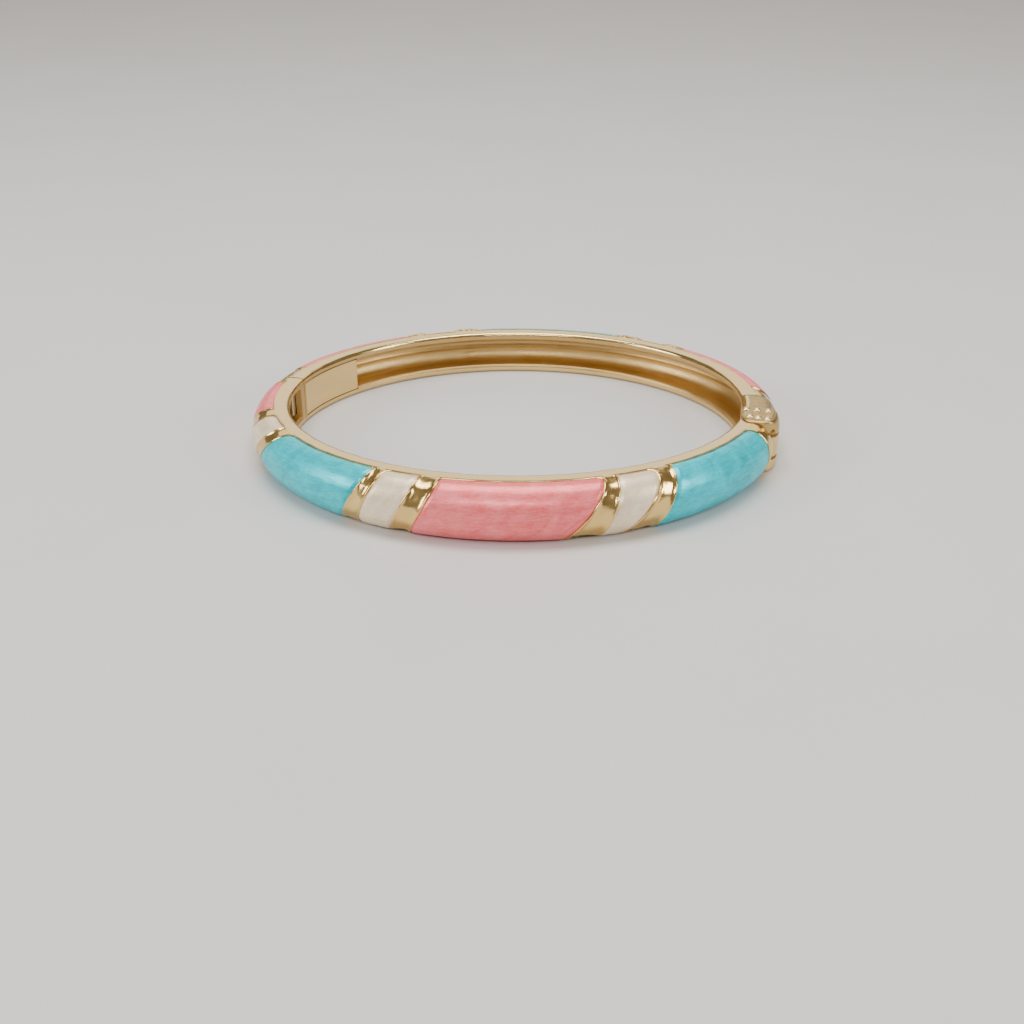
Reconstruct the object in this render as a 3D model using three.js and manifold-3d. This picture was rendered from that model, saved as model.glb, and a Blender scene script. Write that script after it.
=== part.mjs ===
// Hinged enamel bangle bracelet: two hollow half shells on a barrel hinge, twelve enamel fills,
// and a snap clasp whose tongue is curved about the hinge pin.
// Millimetres, +Z up. The origin is the centre of the oval outline on the surface it rests on.
// +X points to the hinge, +Y to the plain back half. Ring angles run from +X, counter-clockwise.
import * as THREE from "three";
import { mergeVertices } from "three/addons/utils/BufferGeometryUtils.js";
import Module from "manifold-3d";

// The wrist opening and the band's section, largest at the front and smallest at the back
const OPENING_HALF_WIDTH = 29;
const OPENING_HALF_DEPTH = 25;
const FRONT_HEIGHT = 6.9;
const BACK_HEIGHT = 5.9;
const FRONT_THICKNESS = 5.2;
const BACK_THICKNESS = 4.1;
const RIM_WIDTH = 1.9;
const EDGE_ROUND = 0.5;
const WALL = 1.2;
const ENAMEL_DEPTH = 0.5;
const ENAMEL_GAP = 0.08;
const CELL_OVERCUT = 0.15;

// Where the halves meet and how their ends are closed
const CLASP_ANGLE = 166;
const HINGE_ANGLE = -15.5;
const SEAM_GAP = 0.2;
const CLASP_END_WALL = 0.9;
const BACK_HINGE_BLOCK = 5.6;
const FRONT_HINGE_BLOCK = 5.3;

// Barrel hinge: outer knuckles on the back half, middle knuckle on the front half
const KNUCKLE_RADIUS = 2.55;
const KNUCKLE_INSET = 0.1;
const KNUCKLE_PROUD = 0.4;
const TOP_KNUCKLE_HEIGHT = 1.7;
const BOTTOM_KNUCKLE_HEIGHT = 1.7;
const KNUCKLE_CHAMFER = 0.2;
const KNUCKLE_SIDE_GAP = 0.2;
const KNUCKLE_END_GAP = 0.12;
const PIN_RADIUS = 0.6;
const PIN_CLEARANCE = 0.05;
const PIN_COVER = 0.7;
const PIN_RECESS = 0.1;

// Snap clasp: a tongue plate with a spring leaf and thumb tab, and the box they enter
const TONGUE_WIDTH = 2.8;
const TONGUE_THICKNESS = 0.45;
const TONGUE_REACH = 5.4;
const TONGUE_ROOT = 2.4;
const TONGUE_CLEARANCE = 0.3;
const TONGUE_FIT = 0.08;
const LEAF_THICKNESS = 0.35;
const LEAF_RISE = 0.55;
const LEAF_FOLD_GAP = 0.25;
const CATCH_DEPTH = 0.38;
const TAB_LENGTH = 1.2;
const TAB_WIDTH = 1.2;
const TAB_PROUD = 0.05;
const TAB_CLEARANCE = 0.25;
const COVER_THICKNESS = 0.5;
const COVER_LEDGE = 0.3;
const COVER_LENGTH = 11;
const COVER_END_MARGIN = 0.5;

// Facets
const DOME_STEPS = 10;
const STATION_DEGREES = 5;
const ROUND_SIDES = 32;

const GOLD = { color: 0xd8b878, roughness: 0.2, metalness: 1 };
const STEEL = { color: 0xc9b48a, roughness: 0.35, metalness: 1 };
const PINK = { color: 0xe6a5a0, roughness: 0.25, metalness: 0 };
const WHITE = { color: 0xe8dcc8, roughness: 0.25, metalness: 0 };
const TURQUOISE = { color: 0x69c6d0, roughness: 0.25, metalness: 0 };

// Enamel fills by the ring angles of their top corners; lean is how far each end runs back
// towards smaller angles from the top edge of the band to its bottom edge.
const FRONT_PANELS = [
  { name: "pink_panel_front_clasp", look: PINK, from: 170, to: 190, lean: [4, 14] },
  { name: "white_panel_front_left", look: WHITE, from: 195, to: 204, lean: [14, 12] },
  { name: "turquoise_panel_front_left", look: TURQUOISE, from: 209, to: 237, lean: [12, 8] },
  { name: "white_panel_front_mid_left", look: WHITE, from: 240.5, to: 248.5, lean: [8, 7] },
  { name: "pink_panel_front_middle", look: PINK, from: 254, to: 288, lean: [7, 8] },
  { name: "white_panel_front_mid_right", look: WHITE, from: 292.5, to: 300, lean: [8, 8] },
  { name: "turquoise_panel_front_hinge", look: TURQUOISE, from: 306, to: 334, lean: [8, 0] },
];
const BACK_PANELS = [
  { name: "pink_panel_back_hinge", look: PINK, from: 4, to: 42, lean: [0, 7] },
  { name: "white_panel_back_right", look: WHITE, from: 47, to: 55.5, lean: [7, 7] },
  { name: "turquoise_panel_back_middle", look: TURQUOISE, from: 61, to: 101, lean: [7, 7] },
  { name: "white_panel_back_left", look: WHITE, from: 106.5, to: 115, lean: [7, 7] },
  { name: "pink_panel_back_clasp", look: PINK, from: 120, to: 158, lean: [7, 4] },
];

// Values worked out from the sizes above
const MEAN_HEIGHT = (FRONT_HEIGHT + BACK_HEIGHT) / 2;
const MEAN_THICKNESS = (FRONT_THICKNESS + BACK_THICKNESS) / 2;
const OVAL_CENTRE_Y = (FRONT_THICKNESS - BACK_THICKNESS) / 2;
const CHANNEL_HALF_HEIGHT = MEAN_HEIGHT / 2 - WALL;

const wasm = await Module();
wasm.setup();

// The wrist opening's edge at a ring angle: the point, and the direction out of the opening.
function ovalAt(degrees) {
  const angle = THREE.MathUtils.degToRad(degrees);
  const x = Math.cos(angle);
  const y = Math.sin(angle);
  const point = new THREE.Vector2(OPENING_HALF_WIDTH * x, OVAL_CENTRE_Y + OPENING_HALF_DEPTH * y);
  const outward = new THREE.Vector2(x / OPENING_HALF_WIDTH, y / OPENING_HALF_DEPTH).normalize();
  return { point, outward };
}

// A size that changes smoothly from the front of the ring to the back.
function tapered(front, back, degrees) {
  const towardsFront = (1 - Math.sin(THREE.MathUtils.degToRad(degrees))) / 2;
  return THREE.MathUtils.lerp(back, front, towardsFront);
}

const heightAt = (degrees) => tapered(FRONT_HEIGHT, BACK_HEIGHT, degrees);
const thicknessAt = (degrees) => tapered(FRONT_THICKNESS, BACK_THICKNESS, degrees);

// The angle that a length along the wrist opening's edge takes up at a ring angle.
function degreesFor(length, degrees) {
  const angle = THREE.MathUtils.degToRad(degrees);
  const perRadian = Math.hypot(
    OPENING_HALF_WIDTH * Math.sin(angle),
    OPENING_HALF_DEPTH * Math.cos(angle),
  );
  return THREE.MathUtils.radToDeg(length / perRadian);
}

const hingeOval = ovalAt(HINGE_ANGLE);
const PIN_OFFSET = KNUCKLE_RADIUS - KNUCKLE_INSET;
const PIN = hingeOval.point.clone().addScaledVector(hingeOval.outward, PIN_OFFSET);
const HINGE_HEIGHT = heightAt(HINGE_ANGLE);
const seamFromPin = ovalAt(CLASP_ANGLE).point.clone().sub(PIN);
const SEAM_RADIUS = seamFromPin.length();
const SEAM_BEARING = seamFromPin.angle();
const CLASP_MIDDLE = heightAt(CLASP_ANGLE) / 2;

// Half of an oval dome in the section, from its top edge out and down to its bottom edge.
function domePoints(inset, proud = 0) {
  const points = [];
  for (let i = 0; i <= DOME_STEPS; i += 1) {
    const turn = (Math.PI * i) / DOME_STEPS;
    const radial = RIM_WIDTH + (MEAN_THICKNESS - RIM_WIDTH - inset + proud) * Math.sin(turn);
    const up = (MEAN_HEIGHT / 2 - inset) * Math.cos(turn);
    points.push(new THREE.Vector2(radial, up));
  }
  return points;
}

// Section of the solid band: flat inner wall, rounded-off rims, flat lands and the dome, which
// stands out further by proud.
function bandShape(proud = 0) {
  const half = MEAN_HEIGHT / 2;
  const innerEdge = [
    new THREE.Vector2(EDGE_ROUND, -half),
    new THREE.Vector2(0, -half + EDGE_ROUND),
    new THREE.Vector2(0, half - EDGE_ROUND),
    new THREE.Vector2(EDGE_ROUND, half),
  ];
  return new THREE.Shape([...domePoints(0, proud), ...innerEdge]);
}

// Section of the hollow in the band, open to the wrist.
function channelShape() {
  const mouth = [
    new THREE.Vector2(-1, -CHANNEL_HALF_HEIGHT),
    new THREE.Vector2(-1, CHANNEL_HALF_HEIGHT),
  ];
  return new THREE.Shape([...domePoints(WALL), ...mouth]);
}

// Section of an enamel fill. A positive grow gives the cell that holds it with that gap.
function enamelShape(grow) {
  const outer = domePoints(grow > 0 ? -CELL_OVERCUT : 0);
  const inner = domePoints(ENAMEL_DEPTH + grow).reverse();
  const edge = (point) => new THREE.Vector2(point.x - grow, point.y);
  const topEdge = edge(outer[0]);
  const bottomEdge = edge(outer[DOME_STEPS]);
  const innerBottom = edge(inner[0]);
  const innerTop = edge(inner[DOME_STEPS]);
  const outerRun = outer.slice(1, DOME_STEPS);
  const innerRun = inner.slice(1, DOME_STEPS);
  return new THREE.Shape([topEdge, ...outerRun, bottomEdge, innerBottom, ...innerRun, innerTop]);
}

// Section of a plate that closes the hollow, standing in a ledge on each rim.
function coverShape(grow) {
  const half = CHANNEL_HALF_HEIGHT + COVER_LEDGE + grow;
  const face = grow > 0 ? -1 : 0;
  return new THREE.Shape([
    new THREE.Vector2(COVER_THICKNESS + grow, half),
    new THREE.Vector2(face, half),
    new THREE.Vector2(face, -half),
    new THREE.Vector2(COVER_THICKNESS + grow, -half),
  ]);
}

// Moves every vertex of a geometry with the given function.
function remap(geometry, place) {
  const position = geometry.getAttribute("position");
  for (let i = 0; i < position.count; i += 1) {
    const moved = place(position.getX(i), position.getY(i), position.getZ(i));
    position.setXYZ(i, moved.x, moved.y, moved.z);
  }
  return geometry;
}

// Sweeps a section round the ring. Its x is the distance out from the opening, its y the height
// from the middle of the band. lean shifts the first and last end by height, in degrees.
function sweep(shape, from, to, lean = [0, 0]) {
  const steps = Math.max(2, Math.ceil((to - from) / STATION_DEGREES));
  const straight = new THREE.ExtrudeGeometry(shape, { depth: 1, steps, bevelEnabled: false });
  return remap(straight, (radial, up, along) => {
    const share = up / MEAN_HEIGHT;
    const start = from + lean[0] * (share - 0.5);
    const end = to + lean[1] * (share - 0.5);
    const degrees = THREE.MathUtils.lerp(end, start, along);
    const { point, outward } = ovalAt(degrees);
    const out = (radial * thicknessAt(degrees)) / MEAN_THICKNESS;
    const height = (share + 0.5) * heightAt(degrees);
    return new THREE.Vector3(point.x + outward.x * out, point.y + outward.y * out, height);
  });
}

// Curves a straight piece of the clasp about the hinge pin. Its x runs into the back half from
// the seam, its y out from the opening, and its z up from the middle of the band.
function aboutPin(geometry) {
  return remap(geometry, (inwards, out, up) => {
    const bearing = SEAM_BEARING - inwards / SEAM_RADIUS;
    const reach = SEAM_RADIUS + out;
    return new THREE.Vector3(
      PIN.x + reach * Math.cos(bearing),
      PIN.y + reach * Math.sin(bearing),
      CLASP_MIDDLE + up,
    );
  });
}

// A block of the clasp given by its low and high corners, curved about the hinge pin.
function claspBlock(low, high) {
  const size = new THREE.Vector3().subVectors(high, low);
  const middle = new THREE.Vector3().addVectors(low, high).multiplyScalar(0.5);
  const block = new THREE.BoxGeometry(size.x, size.y, size.z, 3, 1, 1);
  return aboutPin(block.translate(middle.x, middle.y, middle.z));
}

// An upright round bar on the hinge axis, with both ends chamfered.
function hingeBar(radius, bottom, top, chamfer = 0) {
  const profile = [new THREE.Vector2(0, bottom)];
  if (chamfer > 0) {
    profile.push(new THREE.Vector2(radius - chamfer, bottom));
    profile.push(new THREE.Vector2(radius, bottom + chamfer));
    profile.push(new THREE.Vector2(radius, top - chamfer));
    profile.push(new THREE.Vector2(radius - chamfer, top));
  } else {
    profile.push(new THREE.Vector2(radius, bottom));
    profile.push(new THREE.Vector2(radius, top));
  }
  profile.push(new THREE.Vector2(0, top));
  const bar = new THREE.LatheGeometry(profile, ROUND_SIDES);
  return bar.rotateX(Math.PI / 2).translate(PIN.x, PIN.y, 0);
}

// A closed geometry as a manifold solid.
function solidOf(geometry) {
  const bare = geometry.clone();
  bare.deleteAttribute("normal");
  bare.deleteAttribute("uv");
  const merged = mergeVertices(bare, 1e-4);
  const mesh = new wasm.Mesh({
    numProp: 3,
    vertProperties: merged.getAttribute("position").array,
    triVerts: new Uint32Array(merged.index.array),
  });
  return new wasm.Manifold(mesh);
}

// A manifold solid as a geometry to draw.
function geometryOf(solid) {
  const mesh = solid.getMesh();
  const geometry = new THREE.BufferGeometry();
  geometry.setAttribute("position", new THREE.BufferAttribute(mesh.vertProperties, 3));
  geometry.setIndex(new THREE.BufferAttribute(mesh.triVerts, 1));
  const faceted = geometry.toNonIndexed();
  faceted.computeVertexNormals();
  return faceted;
}

const subtractAll = (solid, cutters) => cutters.reduce((left, cutter) => left.subtract(cutter), solid);

function piece(name, geometry, look) {
  const mesh = new THREE.Mesh(geometry, new THREE.MeshStandardMaterial(look));
  mesh.name = name;
  return mesh;
}

const panelGeometry = (panel) => sweep(enamelShape(0), panel.from, panel.to, panel.lean);

// The cell cut in a shell for an enamel fill.
function panelCell(panel) {
  const from = panel.from - degreesFor(ENAMEL_GAP, panel.from);
  const to = panel.to + degreesFor(ENAMEL_GAP, panel.to);
  return solidOf(sweep(enamelShape(ENAMEL_GAP), from, to, panel.lean));
}

// Heights of the three knuckles
const bottomKnuckleTop = BOTTOM_KNUCKLE_HEIGHT;
const topKnuckleBottom = HINGE_HEIGHT - TOP_KNUCKLE_HEIGHT;
const middleBottom = bottomKnuckleTop + KNUCKLE_END_GAP;
const middleTop = topKnuckleBottom - KNUCKLE_END_GAP;
const pinTop = HINGE_HEIGHT - PIN_COVER;
const pocketRadius = KNUCKLE_RADIUS + KNUCKLE_SIDE_GAP;
const PAST = 1;

const pinHole = solidOf(hingeBar(PIN_RADIUS + PIN_CLEARANCE, -PAST, pinTop + PIN_CLEARANCE));

// A knuckle: a drum rounded over to stand a little proud of the band's dome
const knuckleReach = degreesFor(2 * KNUCKLE_RADIUS, HINGE_ANGLE);
const knuckleRound = solidOf(
  sweep(bandShape(KNUCKLE_PROUD), HINGE_ANGLE - knuckleReach, HINGE_ANGLE + knuckleReach),
);
const knuckle = (bottom, top) =>
  solidOf(hingeBar(KNUCKLE_RADIUS, bottom, top, KNUCKLE_CHAMFER)).intersect(knuckleRound);

// The tongue's places, out from the opening
const tongueInner = COVER_THICKNESS + TONGUE_CLEARANCE + TONGUE_FIT;
const tongueOuter = tongueInner + TONGUE_THICKNESS;
const leafFold = tongueOuter + LEAF_FOLD_GAP + LEAF_THICKNESS / 2;
const leafFree = leafFold + LEAF_RISE;
const leafCatch = leafFree + LEAF_THICKNESS / 2;
const throatOuter = leafCatch - CATCH_DEPTH;
const leafFreeX = CLASP_END_WALL + TONGUE_CLEARANCE;
const leafFoldX = TONGUE_REACH - TONGUE_CLEARANCE;
const tabNear = leafFreeX + TONGUE_FIT;
const tabFar = tabNear + TAB_LENGTH;
const tabOuter = thicknessAt(CLASP_ANGLE);

// The front half: hollow shell with the middle knuckle and a wall at each end
function frontShell() {
  const seam = CLASP_ANGLE + degreesFor(SEAM_GAP / 2, CLASP_ANGLE);
  const hinge = 360 + HINGE_ANGLE;
  const hollowStart = seam + degreesFor(CLASP_END_WALL, seam);
  const hollowEnd = hinge - degreesFor(FRONT_HINGE_BLOCK, hinge);
  const body = solidOf(sweep(bandShape(), seam, hinge));
  const hollow = solidOf(sweep(channelShape(), hollowStart, hollowEnd));
  const topPocket = solidOf(hingeBar(pocketRadius, middleTop, HINGE_HEIGHT + PAST));
  const bottomPocket = solidOf(hingeBar(pocketRadius, -PAST, middleBottom));
  const middleKnuckle = knuckle(middleBottom, middleTop);
  const tongueSlot = solidOf(
    claspBlock(
      new THREE.Vector3(-TONGUE_ROOT - PAST, tongueInner - TONGUE_FIT, -TONGUE_WIDTH / 2 - TONGUE_FIT),
      new THREE.Vector3(PAST, tongueOuter + TONGUE_FIT, TONGUE_WIDTH / 2 + TONGUE_FIT),
    ),
  );
  const open = subtractAll(body, [hollow, topPocket, bottomPocket]);
  return subtractAll(open.add(middleKnuckle), [pinHole, tongueSlot, ...FRONT_PANELS.map(panelCell)]);
}

// The plate over the clasp's box, and the recess it lies in
const coverEnd = CLASP_ANGLE - degreesFor(COVER_END_MARGIN, CLASP_ANGLE);
const coverStart = coverEnd - degreesFor(COVER_LENGTH, CLASP_ANGLE);

// The back half: hollow shell with the two outer knuckles, the clasp's throat and thumb notch
function backShell() {
  const seam = CLASP_ANGLE - degreesFor(SEAM_GAP / 2, CLASP_ANGLE);
  const hollowStart = HINGE_ANGLE + degreesFor(BACK_HINGE_BLOCK, HINGE_ANGLE);
  const hollowEnd = seam - degreesFor(CLASP_END_WALL, seam);
  const body = solidOf(sweep(bandShape(), HINGE_ANGLE, seam));
  const hollow = solidOf(sweep(channelShape(), hollowStart, hollowEnd));
  const pocket = solidOf(hingeBar(pocketRadius, bottomKnuckleTop, topKnuckleBottom));
  const topKnuckle = knuckle(topKnuckleBottom, HINGE_HEIGHT);
  const bottomKnuckle = knuckle(0, bottomKnuckleTop);
  const coverGap = degreesFor(ENAMEL_GAP, coverEnd);
  const coverRecess = solidOf(
    sweep(coverShape(ENAMEL_GAP), coverStart - coverGap, coverEnd + coverGap),
  );
  const halfThroat = TONGUE_WIDTH / 2 + TONGUE_CLEARANCE;
  const throat = solidOf(
    claspBlock(
      new THREE.Vector3(-PAST, tongueInner - TONGUE_CLEARANCE / 2, -halfThroat),
      new THREE.Vector3(CLASP_END_WALL + PAST, throatOuter, halfThroat),
    ),
  );
  const claspRoom = solidOf(
    claspBlock(
      new THREE.Vector3(CLASP_END_WALL, tongueInner - TONGUE_CLEARANCE / 2, -halfThroat),
      new THREE.Vector3(TONGUE_REACH + TONGUE_CLEARANCE, leafCatch + TONGUE_CLEARANCE, halfThroat),
    ),
  );
  const halfNotch = TAB_WIDTH / 2 + TAB_CLEARANCE;
  const thumbNotch = solidOf(
    claspBlock(
      new THREE.Vector3(-PAST, tongueInner, -halfNotch),
      new THREE.Vector3(tabFar + TAB_CLEARANCE, tabOuter + PAST, halfNotch),
    ),
  );
  const open = subtractAll(body.subtract(hollow).add(topKnuckle).add(bottomKnuckle), [pocket, pinHole]);
  const claspCuts = [coverRecess, throat, claspRoom, thumbNotch];
  return subtractAll(open, [...claspCuts, ...BACK_PANELS.map(panelCell)]);
}

// The spring leaf, soldered to the tongue at its tip and standing off it towards the seam
function leafGeometry() {
  const run = leafFoldX - leafFreeX;
  const length = Math.hypot(run, LEAF_RISE);
  const slope = -Math.atan2(LEAF_RISE, run);
  const leaf = new THREE.BoxGeometry(length, LEAF_THICKNESS, TONGUE_WIDTH, 3, 1, 1);
  leaf.rotateZ(slope);
  leaf.translate((leafFoldX + leafFreeX) / 2, (leafFold + leafFree) / 2, 0);
  return aboutPin(leaf);
}

const tonguePlate = claspBlock(
  new THREE.Vector3(-TONGUE_ROOT, tongueInner, -TONGUE_WIDTH / 2),
  new THREE.Vector3(TONGUE_REACH, tongueOuter, TONGUE_WIDTH / 2),
);
const thumbTab = claspBlock(
  new THREE.Vector3(tabNear, leafCatch + TONGUE_FIT, -TAB_WIDTH / 2),
  new THREE.Vector3(tabFar, tabOuter + TAB_PROUD, TAB_WIDTH / 2),
);

const backHalf = new THREE.Group();
backHalf.add(piece("back_shell", geometryOf(backShell()), GOLD));
BACK_PANELS.forEach((panel) => backHalf.add(piece(panel.name, panelGeometry(panel), panel.look)));
backHalf.add(piece("clasp_cover", sweep(coverShape(0), coverStart, coverEnd), GOLD));
backHalf.add(piece("hinge_pin", hingeBar(PIN_RADIUS, PIN_RECESS, pinTop), STEEL));

const frontHalf = new THREE.Group();
frontHalf.add(piece("front_shell", geometryOf(frontShell()), GOLD));
FRONT_PANELS.forEach((panel) => frontHalf.add(piece(panel.name, panelGeometry(panel), panel.look)));
frontHalf.add(piece("tongue_plate", tonguePlate, STEEL));
frontHalf.add(piece("catch_leaf", leafGeometry(), STEEL));
frontHalf.add(piece("thumb_tab", thumbTab, GOLD));

const group = new THREE.Group();
group.add(backHalf, frontHalf);

export default group;
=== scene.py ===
# %% [markdown]
# # A hinged enamel bangle
# A bangle is two hollow half shells of cast, gold-plated metal on a barrel hinge. Between slanted
# gold bars the outside is sunk in cells, and each cell is filled with pearly enamel. This file
# takes the working model as it is, and gives each piece its finished surface.

# %% Load the working model
import bmesh
import bpy
import math
from mathutils import Matrix, Vector, noise


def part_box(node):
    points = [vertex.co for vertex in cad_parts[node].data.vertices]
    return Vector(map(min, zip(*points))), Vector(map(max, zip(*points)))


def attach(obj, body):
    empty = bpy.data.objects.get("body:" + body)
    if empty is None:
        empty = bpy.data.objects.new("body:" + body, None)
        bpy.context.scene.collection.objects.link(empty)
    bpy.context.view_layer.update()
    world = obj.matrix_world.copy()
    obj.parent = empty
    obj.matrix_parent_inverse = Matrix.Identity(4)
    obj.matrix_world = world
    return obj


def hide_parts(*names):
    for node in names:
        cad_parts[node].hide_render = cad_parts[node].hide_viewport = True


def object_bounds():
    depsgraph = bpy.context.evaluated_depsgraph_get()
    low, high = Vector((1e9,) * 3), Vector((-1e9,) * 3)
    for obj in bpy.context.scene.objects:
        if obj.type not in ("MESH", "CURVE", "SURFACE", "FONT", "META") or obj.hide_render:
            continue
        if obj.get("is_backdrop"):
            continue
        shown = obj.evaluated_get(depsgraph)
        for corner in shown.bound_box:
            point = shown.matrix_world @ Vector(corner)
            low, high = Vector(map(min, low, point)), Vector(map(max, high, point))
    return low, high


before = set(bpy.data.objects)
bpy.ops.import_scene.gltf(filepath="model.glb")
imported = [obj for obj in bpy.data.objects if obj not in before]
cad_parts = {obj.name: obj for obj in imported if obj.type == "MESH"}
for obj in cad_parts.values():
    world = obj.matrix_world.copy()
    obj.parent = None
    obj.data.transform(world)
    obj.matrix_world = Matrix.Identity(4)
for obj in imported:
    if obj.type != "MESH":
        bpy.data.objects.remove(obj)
cad_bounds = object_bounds()
MM = 0.001

# %% [markdown]
# ## The band's own sizes
# Everything on the band follows one oval ring, thicker and taller at the front. The sizes are in
# millimetres. An angle of 0 is the hinge side, 90 the back, 180 the clasp side and 270 the front.

# %% Sizes of the band
OPENING_HALF_WIDTH = 29.0
OPENING_HALF_DEPTH = 25.0
FRONT_HEIGHT = 6.9
BACK_HEIGHT = 5.9
FRONT_THICKNESS = 5.2
BACK_THICKNESS = 4.1
RIM_WIDTH = 1.9
EDGE_ROUND = 0.5
WALL = 1.2
CELL_DEPTH = 0.5
MEAN_HEIGHT = (FRONT_HEIGHT + BACK_HEIGHT) / 2
MEAN_THICKNESS = (FRONT_THICKNESS + BACK_THICKNESS) / 2
OVAL_CENTRE_Y = (FRONT_THICKNESS - BACK_THICKNESS) / 2
DOME_REACH = MEAN_THICKNESS - RIM_WIDTH
CHANNEL_HALF = MEAN_HEIGHT / 2 - WALL
CLASP_SEAM = 166.0
SEAM_GAP = 0.12
HINGE_ANGLE = -15.5


def oval_at(degrees):
    """The wrist opening's edge at a ring angle, and the direction straight out of it."""
    x = math.cos(math.radians(degrees))
    y = math.sin(math.radians(degrees))
    point = Vector((OPENING_HALF_WIDTH * x, OVAL_CENTRE_Y + OPENING_HALF_DEPTH * y, 0))
    outward = Vector((x / OPENING_HALF_WIDTH, y / OPENING_HALF_DEPTH, 0)).normalized()
    return point, outward


def tapered(front, back, degrees):
    """A size that changes smoothly from the front of the ring to the back."""
    towards_front = (1 - math.sin(math.radians(degrees))) / 2
    return back + (front - back) * towards_front


def on_band(degrees, radial, up):
    """A place on the ring: radial is out from the opening, up from the middle; the base is flat."""
    point, outward = oval_at(degrees)
    grown = radial * tapered(FRONT_THICKNESS, BACK_THICKNESS, degrees) / MEAN_THICKNESS
    height = (up / MEAN_HEIGHT + 0.5) * tapered(FRONT_HEIGHT, BACK_HEIGHT, degrees)
    place = point + outward * grown
    place.z = max(height, 0)
    return place * MM


def mm_per_degree(degrees):
    """How far one degree runs along the middle of the band's thickness."""
    angle = math.radians(degrees)
    along = math.hypot(OPENING_HALF_WIDTH * math.sin(angle), OPENING_HALF_DEPTH * math.cos(angle))
    return math.radians(along + MEAN_THICKNESS / 2 + 1)


def on_dome(degrees, across, lift):
    """A place on the rounded outside: across is 1 at the top rim and -1 at the bottom rim."""
    turn = math.pi * (1 - across) / 2
    normal = Vector((math.sin(turn) / DOME_REACH, math.cos(turn) / (MEAN_HEIGHT / 2)))
    normal.normalize()
    radial = RIM_WIDTH + DOME_REACH * math.sin(turn) + normal.x * lift
    up = MEAN_HEIGHT / 2 * math.cos(turn) + normal.y * lift
    return on_band(degrees, radial, up)


for degrees in (0, 270):
    print("dome at", degrees, "in mm:", [round(v / MM, 2) for v in on_dome(degrees, 0, 0)])

# %% [markdown]
# ## Where the enamel lies
# The fills are set out like a strip pattern: pink, cream, turquoise and cream, with slanted gold
# bars between. Each end of a fill is a line over the band that leans, bows, and rounds off at its
# corners. The fills and the cells in the shells are made from the same lines, so they always fit.

# %% The layout of the fills
PINK, CREAM, TURQUOISE = "pink_enamel", "cream_enamel", "turquoise_enamel"
# How an end rounds off: how far its corners draw in, in mm, and the power of the curve.
SQUARE = (0.35, 12)
SOFT = (0.9, 5)
ARCHED = (1.7, 2.6)
BOWED = (1.3, 2.5)
ROUND = (1.8, 2.3)


def fill_row(node, slot, top, lean, ends):
    """A fill: its two angles at the top rim, how far each leans by the bottom rim, and its ends."""
    return {"node": node, "slot": slot, "top": top, "lean": lean, "ends": ends}


FRONT_FILLS = [
    fill_row("pink_panel_front_clasp", PINK, (170, 190), (1, 14), (SOFT, SQUARE)),
    fill_row("white_panel_front_left", CREAM, (195, 204), (14, 12), (SOFT, SQUARE)),
    fill_row("turquoise_panel_front_left", TURQUOISE, (208, 238.3), (11, 7.1), (ARCHED, SQUARE)),
    fill_row("white_panel_front_mid_left", CREAM, (241.2, 249.2), (5.5, 6), (SOFT, SQUARE)),
    fill_row("pink_panel_front_middle", PINK, (254, 288.3), (6.4, 9.2), (SQUARE, SOFT)),
    fill_row("white_panel_front_mid_right", CREAM, (291.4, 301), (4.6, 9.5), (SQUARE, BOWED)),
    fill_row("turquoise_panel_front_hinge", TURQUOISE, (304.6, 336), (5.6, 0), (SQUARE, ROUND)),
]
BACK_FILLS = [
    fill_row("pink_panel_back_hinge", PINK, (4, 42), (0, 7), (ROUND, SQUARE)),
    fill_row("white_panel_back_right", CREAM, (47, 55.5), (7, 7), (SQUARE, SOFT)),
    fill_row("turquoise_panel_back_middle", TURQUOISE, (61, 101), (7, 7), (SOFT, SOFT)),
    fill_row("white_panel_back_left", CREAM, (106.5, 115), (7, 7), (SOFT, SQUARE)),
    fill_row("pink_panel_back_clasp", PINK, (120, 158), (7, 4), (SQUARE, SOFT)),
]
FRONT_RIM_SINK = 0.05
BACK_RIM_SINK = 0.38


def fill_end(fill, side, across):
    """The ring angle of one end of a fill, side 0 or 1, at a place across the band."""
    top = fill["top"][side]
    leaned = top + fill["lean"][side] * (math.cos(math.pi * (1 - across) / 2) - 1) / 2
    inset, power = fill["ends"][side]
    corner = 1 - (1 - min(1, abs(across)) ** power) ** (1 / power)
    inwards = inset * corner / mm_per_degree(top)
    return leaned + (inwards if side == 0 else -inwards)


def end_stretch(fill, side, across):
    """How much longer a width is along the band than square to a slanted end."""
    step = 0.02
    low = max(-1, across - step)
    high = min(1, across + step)
    run = (fill_end(fill, side, high) - fill_end(fill, side, low)) * mm_per_degree(fill["top"][side])
    rise = (high - low) * 4.6
    return min(3, math.hypot(run, rise) / rise)


print("fills:", len(FRONT_FILLS), "in front,", len(BACK_FILLS), "behind")

# %% [markdown]
# ## Meshes from a flat strip
# A goldsmith starts from a flat strip and bends it. Here bmesh's create_grid makes the strip, and
# one function then takes each of its points to its place. The rest is welding and closing.

# %% Helpers that turn a grid into a piece
def smooth_step(value):
    value = min(1, max(0, value))
    return value * value * (3 - 2 * value)


def flat_grid(columns, rows):
    """A flat grid whose points stand at (column, row, 0)."""
    bm = bmesh.new()
    bmesh.ops.create_grid(bm, x_segments=columns - 1, y_segments=rows - 1, size=0.5)
    for vert in bm.verts:
        column = round((vert.co.x + 0.5) * (columns - 1))
        row = round((vert.co.y + 0.5) * (rows - 1))
        vert.co = (column, row, 0)
    return bm


def bend(bm, place):
    """Moves each point of a flat grid to place(column, row)."""
    for vert in bm.verts:
        vert.co = place(round(vert.co.x), round(vert.co.y))


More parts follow.
